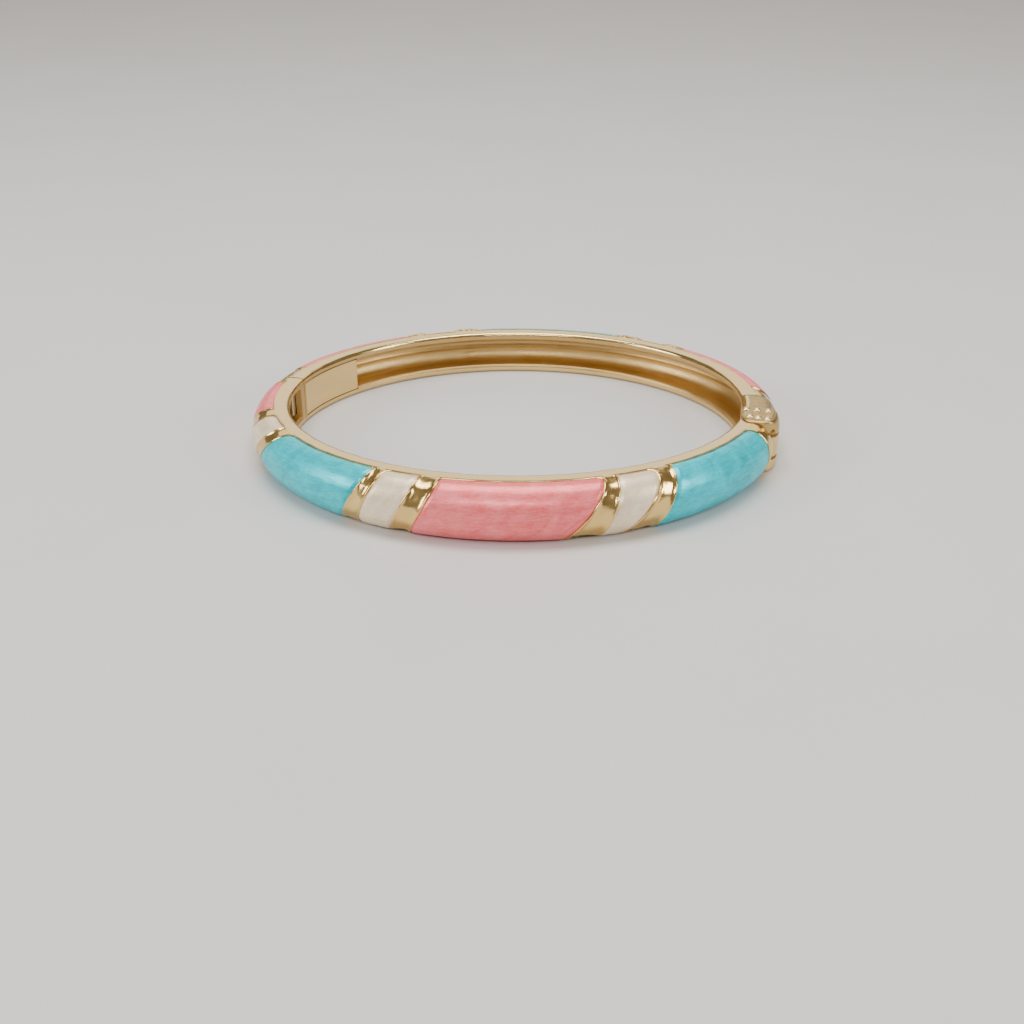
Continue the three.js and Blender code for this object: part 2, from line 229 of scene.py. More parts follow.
def finish_piece(name, bm, body, slot, materials, sharp=35):
    """Makes an object of a bmesh, with its edges sharp past an angle, riding on a body."""
    mesh = bpy.data.meshes.new(name)
    bm.to_mesh(mesh)
    bm.free()
    mesh.shade_smooth()
    mesh.set_sharp_from_angle(angle=math.radians(sharp))
    piece = bpy.data.objects.new(name, mesh)
    bpy.context.scene.collection.objects.link(piece)
    for material in materials:
        mesh.materials.append(material)
    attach(piece, body)
    print(name, len(mesh.polygons), "faces")
    return piece


# %% [markdown]
# ## Finishes
# The finishes are built before the pieces. Every gold surface shares one group that makes small
# polishing marks and slightly duller smudges, because no plated surface is a perfect mirror.

# %% Node helpers
def new_material(name):
    material = bpy.data.materials.new(name)
    material.use_nodes = True
    nodes = material.node_tree.nodes
    return material, nodes, material.node_tree.links, nodes["Principled BSDF"]


def add_node(nodes, kind, **inputs):
    """A node with its inputs set by name; underscores stand for spaces."""
    node = nodes.new(kind)
    for key, value in inputs.items():
        node.inputs[key.replace("_", " ")].default_value = value
    return node


def mix_colours(nodes, links, factor, first, second):
    """A colour that goes from first to second with a factor socket."""
    mix = nodes.new("ShaderNodeMix")
    mix.data_type = "RGBA"
    links.new(factor, mix.inputs["Factor"])
    for socket, value in ((mix.inputs["A"], first), (mix.inputs["B"], second)):
        if isinstance(value, tuple):
            socket.default_value = (*value, 1)
        else:
            links.new(value, socket)
    return mix.outputs["Result"]


# %% The polishing group that all metals share
def make_polish_group():
    group = bpy.data.node_groups.new("Polishing marks", "ShaderNodeTree")
    nodes, links = group.nodes, group.links
    group.interface.new_socket("Smooth", in_out="INPUT", socket_type="NodeSocketFloat")
    group.interface.new_socket("Dull", in_out="INPUT", socket_type="NodeSocketFloat")
    group.interface.new_socket("Roughness", in_out="OUTPUT", socket_type="NodeSocketFloat")
    group.interface.new_socket("Smudge", in_out="OUTPUT", socket_type="NodeSocketFloat")
    group.interface.new_socket("Height", in_out="OUTPUT", socket_type="NodeSocketFloat")
    start = nodes.new("NodeGroupInput")
    end = nodes.new("NodeGroupOutput")
    place = nodes.new("ShaderNodeTexCoord")
    to_mm = add_node(nodes, "ShaderNodeMapping", Scale=(1 / MM, 1 / MM, 1 / MM))
    links.new(place.outputs["Object"], to_mm.inputs["Vector"])
    smudge = add_node(nodes, "ShaderNodeTexNoise", Scale=0.35, Detail=5, Roughness=0.6)
    grain = add_node(nodes, "ShaderNodeTexNoise", Scale=9, Detail=3, Roughness=0.55)
    links.new(to_mm.outputs["Vector"], smudge.inputs["Vector"])
    links.new(to_mm.outputs["Vector"], grain.inputs["Vector"])
    rough = nodes.new("ShaderNodeMapRange")
    links.new(smudge.outputs["Fac"], rough.inputs["Value"])
    rough.inputs["From Min"].default_value = 0.35
    rough.inputs["From Max"].default_value = 0.7
    links.new(start.outputs["Smooth"], rough.inputs["To Min"])
    links.new(start.outputs["Dull"], rough.inputs["To Max"])
    links.new(rough.outputs["Result"], end.inputs["Roughness"])
    links.new(smudge.outputs["Fac"], end.inputs["Smudge"])
    links.new(grain.outputs["Fac"], end.inputs["Height"])
    return group


polish_group = make_polish_group()


def metal_finish(name, bright, deep, smooth, dull, grain, lumps=0.0, lump_scale=1.0):
    """A plated metal: colours for clean and toned places, roughness range, fine grain and lumps."""
    material, nodes, links, shader = new_material(name)
    polish = nodes.new("ShaderNodeGroup")
    polish.node_tree = polish_group
    polish.inputs["Smooth"].default_value = smooth
    polish.inputs["Dull"].default_value = dull
    colour = mix_colours(nodes, links, polish.outputs["Smudge"], deep, bright)
    links.new(colour, shader.inputs["Base Color"])
    links.new(polish.outputs["Roughness"], shader.inputs["Roughness"])
    shader.inputs["Metallic"].default_value = 1.0
    fine = add_node(nodes, "ShaderNodeBump", Strength=grain, Distance=0.01 * MM)
    links.new(polish.outputs["Height"], fine.inputs["Height"])
    last = fine
    if lumps > 0:
        place = nodes.new("ShaderNodeTexCoord")
        to_mm = add_node(nodes, "ShaderNodeMapping", Scale=(1 / MM, 1 / MM, 1 / MM))
        dents = add_node(nodes, "ShaderNodeTexNoise", Scale=lump_scale, Detail=2, Roughness=0.5,
                         Distortion=0.6)
        coarse = add_node(nodes, "ShaderNodeBump", Strength=lumps, Distance=0.1 * MM)
        links.new(place.outputs["Object"], to_mm.inputs["Vector"])
        links.new(to_mm.outputs["Vector"], dents.inputs["Vector"])
        links.new(dents.outputs["Fac"], coarse.inputs["Height"])
        links.new(fine.outputs["Normal"], coarse.inputs["Normal"])
        last = coarse
    links.new(last.outputs["Normal"], shader.inputs["Normal"])
    return material


polished_gold = metal_finish("polished_gold", (0.84, 0.63, 0.29), (0.74, 0.51, 0.20), 0.12, 0.24, 0.3)
bar_gold = metal_finish("bar_gold", (0.86, 0.61, 0.24), (0.72, 0.47, 0.15), 0.12, 0.24, 0.4,
                        lumps=0.22, lump_scale=1.1)
cast_gold = metal_finish("cast_gold", (0.66, 0.46, 0.20), (0.50, 0.33, 0.12), 0.36, 0.50, 1.0,
                         lumps=0.4, lump_scale=3.0)
stippled_gold = metal_finish("stippled_gold", (0.64, 0.44, 0.17), (0.46, 0.30, 0.10), 0.26, 0.40, 0.6,
                             lumps=0.8, lump_scale=2.4)
bead_gold = metal_finish("bead_gold", (0.96, 0.80, 0.50), (0.90, 0.70, 0.38), 0.08, 0.16, 0.2)
spring_metal = metal_finish("spring_metal", (0.66, 0.60, 0.48), (0.52, 0.46, 0.34), 0.24, 0.38, 0.8)
print("metals:", [material.name for material in bpy.data.materials])

# %% [markdown]
# ## Pearl enamel
# Pearl enamel is a clear resin or glass with mica flakes stirred in. The flakes follow the brush
# along the band, so the colour runs in fine streaks and soft clouds. The shader is a partly
# metallic base for the flakes, under a clear glossy coat.

# %% The streak group that all enamels share
def make_streak_group():
    group = bpy.data.node_groups.new("Pearl streaks", "ShaderNodeTree")
    nodes, links = group.nodes, group.links
    group.interface.new_socket("Seed", in_out="INPUT", socket_type="NodeSocketFloat")
    group.interface.new_socket("Streak", in_out="OUTPUT", socket_type="NodeSocketFloat")
    group.interface.new_socket("Cloud", in_out="OUTPUT", socket_type="NodeSocketFloat")
    group.interface.new_socket("Height", in_out="OUTPUT", socket_type="NodeSocketFloat")
    start = nodes.new("NodeGroupInput")
    end = nodes.new("NodeGroupOutput")
    along_band = nodes.new("ShaderNodeUVMap")
    along_band.uv_map = "band"
    clouds = add_node(nodes, "ShaderNodeTexNoise", Scale=0.38, Detail=3, Roughness=0.55, Distortion=1.2)
    clouds.noise_dimensions = "4D"
    links.new(start.outputs["Seed"], clouds.inputs["W"])
    drawn = add_node(nodes, "ShaderNodeMapping", Scale=(0.45, 4.2, 1), Rotation=(0, 0, 0.16))
    links.new(along_band.outputs["UV"], clouds.inputs["Vector"])
    swirl = nodes.new("ShaderNodeVectorMath")
    swirl.operation = "MULTIPLY_ADD"
    swirl.inputs[1].default_value = (1.1, 1.1, 0)
    links.new(clouds.outputs["Color"], swirl.inputs[0])
    links.new(along_band.outputs["UV"], swirl.inputs[2])
    links.new(swirl.outputs["Vector"], drawn.inputs["Vector"])
    brush = add_node(nodes, "ShaderNodeTexNoise", Scale=1.5, Detail=6, Roughness=0.62)
    brush.noise_dimensions = "4D"
    links.new(drawn.outputs["Vector"], brush.inputs["Vector"])
    links.new(start.outputs["Seed"], brush.inputs["W"])
    spread = add_node(nodes, "ShaderNodeMapRange", From_Min=0.30, From_Max=0.72)
    links.new(brush.outputs["Fac"], spread.inputs["Value"])
    soft = add_node(nodes, "ShaderNodeMapRange", From_Min=0.36, From_Max=0.66)
    links.new(clouds.outputs["Fac"], soft.inputs["Value"])
    links.new(soft.outputs["Result"], end.inputs["Cloud"])
    flake_size = add_node(nodes, "ShaderNodeMapping", Scale=(2.6, 8, 1), Rotation=(0, 0, 0.3))
    links.new(along_band.outputs["UV"], flake_size.inputs["Vector"])
    flakes = add_node(nodes, "ShaderNodeTexNoise", Scale=1, Detail=3, Roughness=0.7)
    links.new(flake_size.outputs["Vector"], flakes.inputs["Vector"])
    relief = nodes.new("ShaderNodeMath")
    relief.operation = "MULTIPLY_ADD"
    relief.inputs[1].default_value = 0.6
    links.new(flakes.outputs["Fac"], relief.inputs[0])
    links.new(brush.outputs["Fac"], relief.inputs[2])
    links.new(relief.outputs["Value"], end.inputs["Height"])
    glint = nodes.new("ShaderNodeMath")
    glint.operation = "MULTIPLY_ADD"
    glint.inputs[1].default_value = 1.1
    glint.inputs[2].default_value = -0.55
    links.new(flakes.outputs["Fac"], glint.inputs[0])
    sparkle = nodes.new("ShaderNodeMath")
    sparkle.operation = "ADD"
    sparkle.use_clamp = True
    links.new(spread.outputs["Result"], sparkle.inputs[0])
    links.new(glint.outputs["Value"], sparkle.inputs[1])
    links.new(sparkle.outputs["Value"], end.inputs["Streak"])
    return group


streak_group = make_streak_group()


def enamel_finish(name, seed, body, deep, pearl):
    """Pearl enamel from its body colour, the deeper colour in its clouds and its pearly streaks."""
    material, nodes, links, shader = new_material(name)
    streaks = nodes.new("ShaderNodeGroup")
    streaks.node_tree = streak_group
    streaks.inputs["Seed"].default_value = seed
    clouded = mix_colours(nodes, links, streaks.outputs["Cloud"], deep, body)
    streaked = mix_colours(nodes, links, streaks.outputs["Streak"], clouded, pearl)
    lighter = mix_colours(nodes, links, streaks.outputs["Cloud"], clouded, streaked)
    half = nodes.new("ShaderNodeMix")
    half.data_type = "RGBA"
    half.inputs["Factor"].default_value = 0.6
    links.new(lighter, half.inputs["A"])
    links.new(streaked, half.inputs["B"])
    links.new(half.outputs["Result"], shader.inputs["Base Color"])
    shine = add_node(nodes, "ShaderNodeMapRange", To_Min=0.42, To_Max=0.28)
    links.new(streaks.outputs["Streak"], shine.inputs["Value"])
    links.new(shine.outputs["Result"], shader.inputs["Roughness"])
    shader.inputs["Metallic"].default_value = 0.25
    shader.inputs["Specular Tint"].default_value = (*pearl, 1)
    shader.inputs["Coat Weight"].default_value = 0.32
    shader.inputs["Coat Roughness"].default_value = 0.2
    relief = add_node(nodes, "ShaderNodeBump", Strength=0.45, Distance=0.02 * MM)
    links.new(streaks.outputs["Height"], relief.inputs["Height"])
    links.new(relief.outputs["Normal"], shader.inputs["Normal"])
    return material


enamels = {
    PINK: enamel_finish(PINK, 1.0, (0.90, 0.15, 0.14), (0.78, 0.09, 0.08), (1.0, 0.30, 0.33)),
    CREAM: enamel_finish(CREAM, 4.0, (0.84, 0.66, 0.43), (0.72, 0.53, 0.32), (0.96, 0.86, 0.68)),
    TURQUOISE: enamel_finish(TURQUOISE, 7.0, (0.0, 0.50, 0.58), (0.0, 0.32, 0.39), (0.01, 0.74, 0.82)),
}
print("enamels:", sorted(enamels))

# %% [markdown]
# ## Enamel fills
# Each fill is a strip between its two ends. Wet enamel pulls down at the edge of its cell, so the
# surface swells from just under the gold border to a low crown. Solidify then gives it its depth.

# %% Make the enamel fills
ENAMEL_CROWN = 0.10
ENAMEL_EDGE = -0.05
EDGE_ROLL = 0.45
DOME_ARC = 9.3
FILL_ROWS = 37


def eased(share):
    """A share from -1 to 1 that crowds towards both ends."""
    return 0.35 * share + 0.65 * math.sin(share * math.pi / 2)


def make_fill(fill, body, rim_sink):
    start, end = fill["top"]
    length = (end - start) * mm_per_degree((start + end) / 2)
    columns = max(13, round(length / 0.3)) | 1

    def place(column, row):
        along = eased(2 * column / (columns - 1) - 1)
        across = eased(2 * row / (FILL_ROWS - 1) - 1)
        low = fill_end(fill, 0, across)
        high = fill_end(fill, 1, across)
        degrees = low + (high - low) * (along + 1) / 2
        from_end = (1 - abs(along)) * length / 2
        from_rim = (1 - abs(across)) * DOME_ARC / 2
        roll = smooth_step(from_end / EDGE_ROLL) * smooth_step(from_rim / EDGE_ROLL)
        sink = (rim_sink + ENAMEL_EDGE) * (1 - smooth_step(from_rim / 1.6))
        return on_dome(degrees, across * 0.995, ENAMEL_EDGE + (ENAMEL_CROWN - ENAMEL_EDGE) * roll - sink)

    flat = flat_grid(columns, FILL_ROWS)
    band = flat.loops.layers.uv.new("band")
    for face in flat.faces:
        for loop in face.loops:
            along = eased(2 * loop.vert.co.x / (columns - 1) - 1)
            across = eased(2 * loop.vert.co.y / (FILL_ROWS - 1) - 1)
            loop[band].uv = (along * length / 2 + start, across * DOME_ARC / 2)
    bend(flat, place)
    bmesh.ops.recalc_face_normals(flat, faces=flat.faces)
    flat.faces.ensure_lookup_table()
    if flat.faces[len(flat.faces) // 2].normal.dot(outward_of(flat)) < 0:
        bmesh.ops.reverse_faces(flat, faces=flat.faces)
    bmesh.ops.solidify(flat, geom=flat.faces[:], thickness=(CELL_DEPTH - 0.14) * MM)
    piece = finish_piece(fill["node"] + "_glazed", flat, body, fill["slot"], [enamels[fill["slot"]]], 60)
    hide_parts(fill["node"])
    return piece


def outward_of(bm):
    """The direction from the ring's middle to the middle face of a bmesh."""
    face = bm.faces[len(bm.faces) // 2]
    centre = face.calc_center_median()
    return Vector((centre.x, centre.y, 0)).normalized()


for fill in FRONT_FILLS:
    make_fill(fill, "front_half", FRONT_RIM_SINK)
for fill in BACK_FILLS:
    make_fill(fill, "back_half", BACK_RIM_SINK)

# %% [markdown]
# ## Half shells
# A shell's section is one closed loop: over the dome, along the rim, round its edge, down the
# inner lip and through the hollow. The strip's rows go round that loop and its columns along the
# ring. Columns follow the ends of the fills, so each cell's wall and raised border are exact.

# %% The section's loop
DOME_ROWS = 33
BORDER = 0.26
BORDER_HEIGHT = 0.09
FRONT_BAR_LEVEL = -0.06
BACK_BAR_LEVEL = 0.16
LUMP = 0.10
RIDGE = 0.24
RIM_WAVE = 0.035
LIP_ROUND = 0.42


def section_loop():
    """Rows round the section: ("dome", across, 0, finish) or ("rim" or "hollow", radial, up, finish)."""
    half = MEAN_HEIGHT / 2
    rows = [("dome", 1 - 2 * row / (DOME_ROWS - 1), 0, 1) for row in range(DOME_ROWS)]
    lower = [("rim", RIM_WIDTH - 0.005, -half - 0.01, 0)]
    for step in range(1, 5):
        swell = 0.05 * math.sin(math.pi * (0.3 + 0.7 * step / 4))
        lower.append(("rim", RIM_WIDTH - 0.22 * step / 4, -half - swell, 0))
    for radial in (RIM_WIDTH - 0.5, 1.05, 0.75):
        lower.append(("rim", radial, -half, 0))
    for step in range(7):
        turn = math.pi / 2 * step / 6
        rolled = EDGE_ROUND * (1 - math.cos(turn))
        lower.append(("rim", EDGE_ROUND * (1 - math.sin(turn)), -half + rolled, 0))
    for step in range(6):
        turn = math.pi / 2 * step / 5
        rolled = LIP_ROUND * (1 - math.sin(turn))
        lower.append(("hollow", LIP_ROUND * (1 - math.cos(turn)), -CHANNEL_HALF - rolled, 2))
    for radial in (0.6, 0.9, 1.4):
        lower.append(("hollow", radial, -CHANNEL_HALF, 2))
    bowl = []
    for step in range(25):
        turn = math.pi * step / 24
        up = -CHANNEL_HALF * math.cos(turn)
        ridge = RIDGE * math.exp(-((up / 0.3) ** 2))
        radial = RIM_WIDTH + (DOME_REACH - WALL) * math.sin(turn) - ridge
        bowl.append(("hollow", radial, up, 2))
    upper = [(kind, radial, -up, finish) for kind, radial, up, finish in reversed(lower)]
    return rows + lower + bowl + upper + rows[:1]


LOOP = section_loop()
print("rows round the section:", len(LOOP))


# %% Columns along a shell
def bar_surface(degrees, across, level):
    """How the cast metal of a bar lies under the dome, softly lumpy like worked gold."""
    place = Vector((degrees * 0.55, across * DOME_ARC / 2, 0))
    swell = noise.noise(place * 0.8) + 0.3 * noise.noise(place * 1.9 + Vector((7, 3, 1)))
    fade = smooth_step((1 - abs(across)) * DOME_ARC / 2 / 0.5)
    return fade * (LUMP * swell + level)


def columns_along(fills, first, last, bar_level):
    """Columns as (angle of a row, lift of a row, nominal angle, strength of the rim's fine line)."""
    columns = []

    def straight(share, low, high):
        degrees = low(0) + (high(0) - low(0)) * share

        def angle(across):
            return low(across) + (high(across) - low(across)) * share

        return degrees, angle

    def add_bar(low, high, low_border, high_border, lumpy):
        """Plain or lumpy gold between two lines, with a raised border at either end."""
        def edge(line, border, sign):
            if border is None:
                return line
            fill, side = border

            def moved(across):
                width = BORDER * end_stretch(fill, side, across)
                return line(across) + sign * width / mm_per_degree(line(0))

            return moved

        inner_low = edge(low, low_border, 1)
        inner_high = edge(high, high_border, -1)
        if low_border is not None:
            for step in range(5):
                share = step / 5
                degrees, angle = straight(share, low, inner_low)
                bead = BORDER_HEIGHT * math.sin(math.pi * (0.15 + 0.85 * share))
                columns.append((angle, lambda d, a, b=bead: b, degrees, 1))
        span = (inner_high(0) - inner_low(0)) * mm_per_degree(low(0))
        steps = max(3, math.ceil(span / 0.28))
        for step in range(steps + 1):
            share = step / steps
            degrees, angle = straight(share, inner_low, inner_high)
            near = min(share if low_border else 1, 1 - share if high_border else 1) * span
            rise = smooth_step(near / 0.25) if lumpy else 0
            line = 1 - smooth_step(near / 0.4)
            columns.append((angle, lambda d, a, k=rise: k * bar_surface(d, a, bar_level), degrees, line))
        if high_border is not None:
            for step in range(1, 6):
                share = step / 5
                degrees, angle = straight(share, inner_high, high)
                bead = BORDER_HEIGHT * math.sin(math.pi * 0.85 * share)
                columns.append((angle, lambda d, a, b=bead: b, degrees, 1))

    def add_cell(fill):
        start = lambda across: fill_end(fill, 0, across)
        end = lambda across: fill_end(fill, 1, across)
        steps = max(6, math.ceil((end(0) - start(0)) * mm_per_degree(start(0)) / 0.5))
        for step in range(steps + 1):
            degrees, angle = straight(step / steps, start, end)
            columns.append((angle, lambda d, a: -CELL_DEPTH, degrees, 1))

    low = lambda across: first
    low_border = None
    for index, fill in enumerate(fills):
        high = lambda across, f=fill: fill_end(f, 0, across)
        add_bar(low, high, low_border, (fill, 0), lumpy=index > 0)
        add_cell(fill)
        low = lambda across, f=fill: fill_end(f, 1, across)
        low_border = (fill, 1)
    add_bar(low, lambda across: last, low_border, None, lumpy=False)
    return columns


# %% Make a shell
END_ROUND = 0.08
FINISHES = [polished_gold, bar_gold, cast_gold, stippled_gold]


def no_rise(degrees):
    return 0.0


def filed_depth(degrees, across):
    """The dome is filed back a little beside the hinge, so that the halves clear as they open."""
    from_hinge = abs((degrees - HINGE_ANGLE + 180) % 360 - 180) * mm_per_degree(HINGE_ANGLE)
    return 0.16 * (1 - smooth_step((from_hinge - 1.2) / 2.2)) * smooth_step((0.75 - abs(across)) / 0.3)


def shell_mesh(columns, hollow_depth, rise=no_rise):
    """A closed shell: hollow_depth and rise are its hollow and its raised top by ring angle."""
    def place(column, row):
        angle, lift, nominal, line = columns[column]
        kind, radial, up, _ = LOOP[row]
        if kind == "dome":
            degrees = angle(radial)
            raised = rise(nominal) * smooth_step((radial - 0.25) / 0.5)
            raised += lift(degrees, radial) - filed_depth(nominal, radial)
            if raised > 0:
                raised *= smooth_step((radial + 1) / 0.15)
            return on_dome(degrees, radial, raised)
        share = up / MEAN_HEIGHT + 0.5
        degrees = angle(-1) + (angle(1) - angle(-1)) * share
        if kind == "hollow":
            depth = hollow_depth(nominal)
            radial = min(radial, depth)
        if kind == "rim" and up < 0:
            up = max(up, -MEAN_HEIGHT / 2)
        if kind == "rim" and up > 0:
            up -= max(0, up - MEAN_HEIGHT / 2) * (1 - line)
            up += RIM_WAVE * noise.noise(Vector((nominal * 0.22, radial * 0.5, 3)))
            up += rise(nominal) * smooth_step(radial / 0.5)
        return on_band(degrees, radial, up)

    bm = flat_grid(len(columns), len(LOOP))
    for face in bm.faces:
        middle = face.calc_center_median()
        kind, across, up, finish = LOOP[math.floor(middle.y)]
        on_top = (kind == "dome" and across > 0.1) or (kind == "rim" and up > 0 and across > 0.6)
        raised = rise(columns[math.floor(middle.x)][2]) > 0.2
        face.material_index = 3 if on_top and raised else finish
    bend(bm, place)
    bmesh.ops.remove_doubles(bm, verts=bm.verts, dist=0.002 * MM)
    open_edges = [edge for edge in bm.edges if edge.is_boundary]
    caps = bmesh.ops.holes_fill(bm, edges=open_edges, sides=0)["faces"]
    bmesh.ops.recalc_face_normals(bm, faces=bm.faces)
    rims = list({edge for face in caps for edge in face.edges})
    bmesh.ops.bevel(bm, geom=rims, offset=END_ROUND * MM, segments=3, affect="EDGES", profile=0.5,
                    material=-1, clamp_overlap=True)
    return bm


def degrees_for(length, degrees):
    """The ring angle that a length along the wrist opening's edge takes up."""
    angle = math.radians(degrees)
    along = math.hypot(OPENING_HALF_WIDTH * math.sin(angle), OPENING_HALF_DEPTH * math.cos(angle))
    return math.degrees(length / along)


def hollow_between(first, last):
    """A hollow that starts and stops at two angles, with a small fillet at either end."""
    def depth(degrees):
        inside = min(degrees - first, last - degrees) * mm_per_degree(degrees)
        return 4.2 * smooth_step(inside / 0.5)
    return depth


# %% [markdown]
# ## Cutting the hinge and clasp
# The jeweller turns the knuckles separately, files pockets for them in the band's ends, and saws
# the slots of the clasp. Here those cuts are Boolean differences with drums and bent blocks, and
# each result is kept as a plain mesh.

# %% The hinge's and clasp's places
KNUCKLE_RADIUS = 2.55
KNUCKLE_PROUD = 0.4
POCKET_RADIUS = 2.75
PIN_RADIUS = 0.6
PIN_BORE = 0.65
PIN_COVER = 0.65
CLASP_END_WALL = 0.9
FRONT_HINGE_BLOCK = 5.3
BACK_HINGE_BLOCK = 5.6
BLOCK_RISE = 0.26
BLOCK_START = -2.2
hinge_point, hinge_outward = oval_at(HINGE_ANGLE)
PIN = hinge_point + hinge_outward * (KNUCKLE_RADIUS - 0.1)
HINGE_HEIGHT = tapered(FRONT_HEIGHT, BACK_HEIGHT, HINGE_ANGLE)
BOTTOM_DRUM = (0.0, 1.7)
MIDDLE_DRUM = (1.82, HINGE_HEIGHT - 1.82)
TOP_DRUM = (HINGE_HEIGHT - 1.7, HINGE_HEIGHT)
seam_from_pin = oval_at(CLASP_SEAM)[0] - PIN
SEAM_RADIUS = seam_from_pin.length
SEAM_BEARING = math.atan2(seam_from_pin.y, seam_from_pin.x)
CLASP_MIDDLE = tapered(FRONT_HEIGHT, BACK_HEIGHT, CLASP_SEAM) / 2
TONGUE_NEAR = 0.88
TONGUE_FAR = 1.33
TONGUE_HALF = 1.4
LEAF_NEAR = 1.58
LEAF_FAR = 1.93
LEAF_FREE = 1.2
LEAF_FOLD = 5.1
LEAF_LIFT = 0.55
COVER_DEPTH = 0.5
COVER_HALF = 2.3
TAB_START = 1.28
TAB_END = 2.48
TAB_TOP = 4.567
TAB_HALF = 0.6
RIB_PITCH = 0.4
RIB_HEIGHT = 0.07
print("pin at mm:", [round(v, 3) for v in PIN], "clasp radius", round(SEAM_RADIUS, 2))


def about_pin(inwards, out, up):
    """A place in the clasp, on a curve about the pin: inwards runs into the back half."""
    bearing = SEAM_BEARING - inwards / SEAM_RADIUS
    reach = SEAM_RADIUS + out
    x = PIN.x + reach * math.cos(bearing)
    y = PIN.y + reach * math.sin(bearing)
    return Vector((x, y, CLASP_MIDDLE + up)) * MM


# %% Helpers for blocks, drums and cuts
def bent_block(low, high, place, cuts=8, rounding=0.0, segments=3):
    """A block in flat millimetres, cut across its length, its edges rounded, then bent."""
    low = Vector(low)
    high = Vector(high)
    bm = bmesh.new()
    bmesh.ops.create_cube(bm, size=1)
    bmesh.ops.scale(bm, vec=high - low, verts=bm.verts)
    bmesh.ops.translate(bm, vec=(low + high) / 2, verts=bm.verts)
    if rounding > 0:
        bmesh.ops.bevel(bm, geom=bm.edges[:], offset=rounding, segments=segments, affect="EDGES",
                        profile=0.5, material=-1)
    for step in range(1, cuts):
        x = low.x + (high.x - low.x) * step / cuts
        everything = bm.verts[:] + bm.edges[:] + bm.faces[:]
        bmesh.ops.bisect_plane(bm, geom=everything, plane_co=(x, 0, 0), plane_no=(1, 0, 0))
    for vert in bm.verts:
        vert.co = place(*vert.co)
    if bm.calc_volume(signed=True) < 0:
        bmesh.ops.reverse_faces(bm, faces=bm.faces)
    return bm


def drum_block(radius, bottom, top):
    """A plain drum on the pin's axis, for cutting pockets."""
    bm = bmesh.new()
    matrix = Matrix.Translation(Vector((PIN.x, PIN.y, (bottom + top) / 2)) * MM)
    bmesh.ops.create_cone(bm, cap_ends=True, segments=96, radius1=radius * MM, radius2=radius * MM,
                          depth=(top - bottom) * MM, matrix=matrix)
    return bm


def with_cuts(bm, cutters, materials):
    """The mesh with each cutter taken away, as a new bmesh."""
    def temporary(mesh_maker):
        mesh = bpy.data.meshes.new("temporary")
        mesh_maker.to_mesh(mesh)
        mesh_maker.free()
        piece = bpy.data.objects.new("temporary", mesh)
        bpy.context.scene.collection.objects.link(piece)
        return piece

    whole = temporary(bm)
    for material in materials:
        whole.data.materials.append(material)
    tools = [temporary(cutter) for cutter in cutters]
    for tool in tools:
        cut = whole.modifiers.new("cut", "BOOLEAN")
        cut.operation = "DIFFERENCE"
        cut.solver = "EXACT"
        cut.object = tool
    result = bmesh.new()
    result.from_object(whole, bpy.context.evaluated_depsgraph_get())
    for piece in [whole, *tools]:
        mesh = piece.data
        bpy.data.objects.remove(piece)
        bpy.data.meshes.remove(mesh)
    return result


# %% Make the front shell
front_first = CLASP_SEAM + degrees_for(SEAM_GAP / 2, CLASP_SEAM)
front_last = 360 + HINGE_ANGLE
front_hollow = hollow_between(front_first + degrees_for(CLASP_END_WALL, front_first),
                              front_last - degrees_for(FRONT_HINGE_BLOCK, front_last))
front_columns = columns_along(FRONT_FILLS, front_first, front_last, FRONT_BAR_LEVEL)
front_mesh = shell_mesh(front_columns, front_hollow)
tongue_slot = bent_block((-3.4, 0.8, -1.48), (1, 1.41, 1.48), about_pin)
front_cutters = [
    drum_block(POCKET_RADIUS, MIDDLE_DRUM[1], 9),
    drum_block(POCKET_RADIUS, -2, MIDDLE_DRUM[0]),
    drum_block(PIN_BORE, -1, 9),
    tongue_slot,
]
front_mesh = with_cuts(front_mesh, front_cutters, FINISHES)
front_shell = finish_piece("front_band", front_mesh, "front_half", "gold_plate", FINISHES)
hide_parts("front_shell")

# %% Make the back shell
back_last = CLASP_SEAM - degrees_for(SEAM_GAP / 2, CLASP_SEAM)
back_hollow = hollow_between(HINGE_ANGLE + degrees_for(BACK_HINGE_BLOCK, HINGE_ANGLE),
                             back_last - degrees_for(CLASP_END_WALL, back_last))
COVER_END = CLASP_SEAM - degrees_for(0.5, CLASP_SEAM)
COVER_START = COVER_END - degrees_for(11, CLASP_SEAM)


def hinge_block_rise(degrees):
    """The solid block behind the hinge stands a little above the rim."""
    return BLOCK_RISE * smooth_step((BLOCK_START - degrees) * 0.44 / 0.45)


def along_inner_wall(along, out, up):
    """A place on the inner wall: along is in degrees of the ring."""
    return on_band(along, out, up)


back_columns = columns_along(BACK_FILLS, HINGE_ANGLE, back_last, BACK_BAR_LEVEL)
back_mesh = shell_mesh(back_columns, back_hollow, hinge_block_rise)
cover_recess = bent_block((COVER_START - 0.2, -1, -2.38), (COVER_END + 0.2, 0.58, 2.38),
                          along_inner_wall, 26)
throat = bent_block((-1, 0.73, -1.7), (1.9, 2.1, 1.7), about_pin)
leaf_room = bent_block((CLASP_END_WALL, 0.7, -1.72), (5.7, 2.78, 1.72), about_pin, 14)
tab_notch = bent_block((-1, 0.88, -0.85), (2.73, 5.6, 0.85), about_pin)
back_cutters = [
    drum_block(POCKET_RADIUS, BOTTOM_DRUM[1], TOP_DRUM[0]),
    drum_block(PIN_BORE, -1, HINGE_HEIGHT - PIN_COVER),
    cover_recess,
    throat,
    leaf_room,
    tab_notch,
]
back_mesh = with_cuts(back_mesh, back_cutters, FINISHES)
back_shell = finish_piece("back_band", back_mesh, "back_half", "gold_plate", FINISHES)
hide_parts("back_shell")

